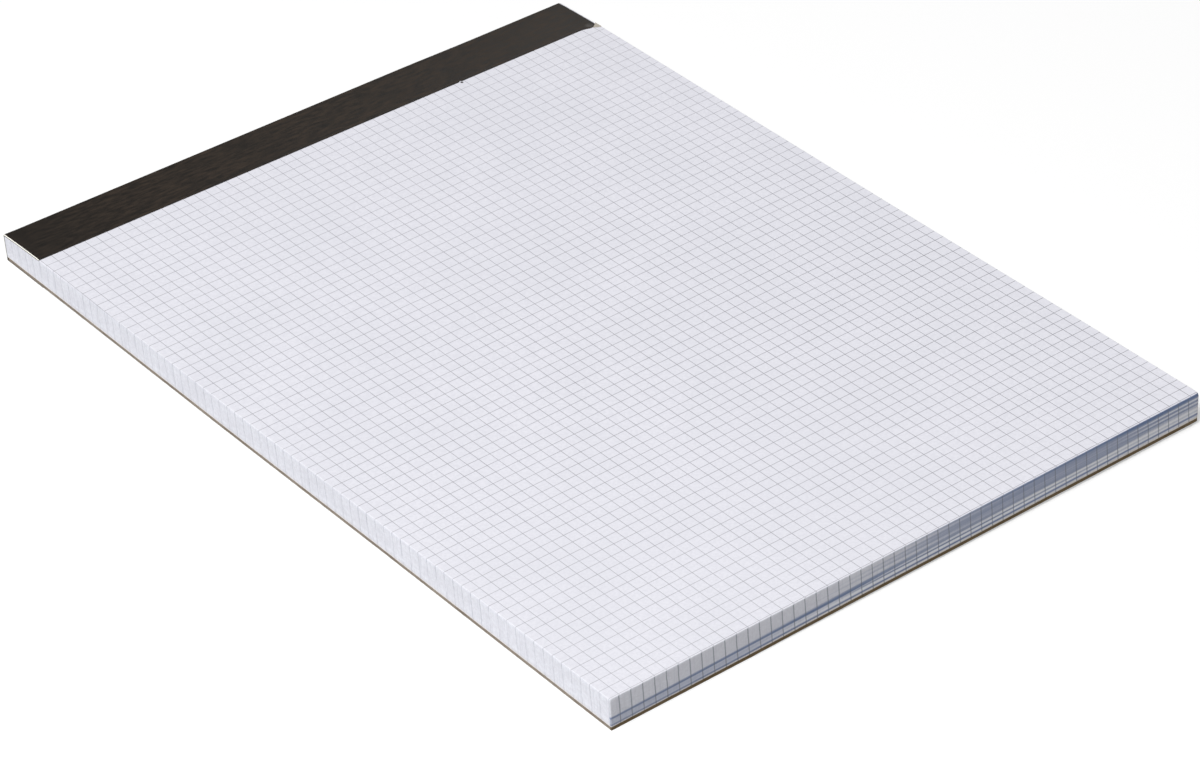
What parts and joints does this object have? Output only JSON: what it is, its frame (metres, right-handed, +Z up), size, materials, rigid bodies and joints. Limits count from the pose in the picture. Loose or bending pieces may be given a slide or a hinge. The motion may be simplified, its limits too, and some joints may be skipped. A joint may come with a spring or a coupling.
{
  "type": "legal pad",
  "caption": "Top-bound writing pad: a thick block of white sheets ruled in small squares on a chipboard back, stapled at the head under a folded black binding tape.",
  "frame": {"origin": "on the surface that the pad lies on, below the middle of its overall length and width", "axes": "+X to the writer's right, +Y towards the bound head, +Z up out of the top sheet"},
  "size_m": [0.216, 0.2988, 0.0107],
  "materials": {
    "ruled_paper": "matte",
    "chipboard": "matte",
    "binding_tape": "satin",
    "staple_wire": "satin"
  },
  "bodies": {
    "root": {"page_block": "ruled_paper", "backing_board": "chipboard", "binding_tape": "binding_tape", "staples": "staple_wire"}
  },
  "joints": []
}
